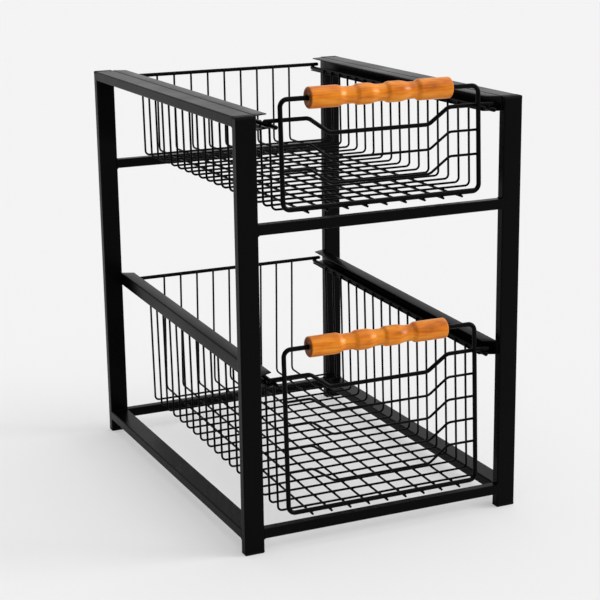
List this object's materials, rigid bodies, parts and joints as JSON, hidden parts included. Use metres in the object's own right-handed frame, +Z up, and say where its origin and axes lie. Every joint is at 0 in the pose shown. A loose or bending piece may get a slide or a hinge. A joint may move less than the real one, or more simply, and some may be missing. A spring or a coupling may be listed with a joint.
{
  "type": "pull out cabinet basket",
  "caption": "Tube frame with an upper and a lower wire basket that slide out on side channels, each with a wire loop and a turned wooden grip.",
  "frame": {"origin": "bottom centre of the whole unit's box, on the floor", "axes": "+X to the right seen from the front, +Y to the back, +Z up; the baskets pull out towards -Y"},
  "size_m": [0.295, 0.416, 0.4372],
  "materials": {
    "frame_tube": "black satin powder coat on steel tube",
    "runner_sheet": "black satin powder coat on folded steel sheet",
    "basket_wire": "black semi-gloss powder coat on steel wire",
    "plug_plastic": "black moulded plastic, matt",
    "grip_wood": "turned hardwood, honey stained and varnished"
  },
  "bodies": {
    "frame": {"post_front_left": "frame_tube", "foot_plug_front_left": "plug_plastic", "top_plug_front_left": "plug_plastic", "post_front_right": "frame_tube", "foot_plug_front_right": "plug_plastic", "top_plug_front_right": "plug_plastic", "bottom_bar_front": "frame_tube", "middle_bar_front": "frame_tube", "post_rear_left": "frame_tube", "foot_plug_rear_left": "plug_plastic", "top_plug_rear_left": "plug_plastic", "post_rear_right": "frame_tube", "foot_plug_rear_right": "plug_plastic", "top_plug_rear_right": "plug_plastic", "bottom_bar_rear": "frame_tube", "middle_bar_rear": "frame_tube", "top_rail_left": "frame_tube", "bottom_rail_left": "frame_tube", "upper_channel_left": "runner_sheet", "lower_channel_left": "runner_sheet", "top_rail_right": "frame_tube", "bottom_rail_right": "frame_tube", "upper_channel_right": "runner_sheet", "lower_channel_right": "runner_sheet"},
    "upper_basket": {"upper_side_rods": "basket_wire", "upper_front_rim": "basket_wire", "upper_rear_rim": "basket_wire", "upper_front_wires": "basket_wire", "upper_cross_wires": "basket_wire", "upper_long_wires": "basket_wire", "upper_handle_loop": "basket_wire"},
    "lower_basket": {"lower_side_rods": "basket_wire", "lower_front_rim": "basket_wire", "lower_rear_rim": "basket_wire", "lower_front_wires": "basket_wire", "lower_cross_wires": "basket_wire", "lower_long_wires": "basket_wire", "lower_handle_loop": "basket_wire"},
    "upper_grip": {"upper_grip": "grip_wood"},
    "lower_grip": {"lower_grip": "grip_wood"}
  },
  "joints": [
    {"name": "upper_basket_slide", "type": "slide", "parent": "frame", "child": "upper_basket", "axis": [0, -1, 0], "range_m": [0, 0.3]},
    {"name": "lower_basket_slide", "type": "slide", "parent": "frame", "child": "lower_basket", "axis": [0, -0.9996, -0.0288], "range_m": [0, 0.3]},
    {"name": "upper_grip_turn", "type": "hinge", "parent": "upper_basket", "child": "upper_grip", "pos_m": [-0.003, -0.19729, 0.4272], "axis": [1, 0, 0], "continuous": true},
    {"name": "lower_grip_turn", "type": "hinge", "parent": "lower_basket", "child": "lower_grip", "pos_m": [-0.003, -0.19671, 0.1955], "axis": [1, 0, 0], "continuous": true}
  ]
}
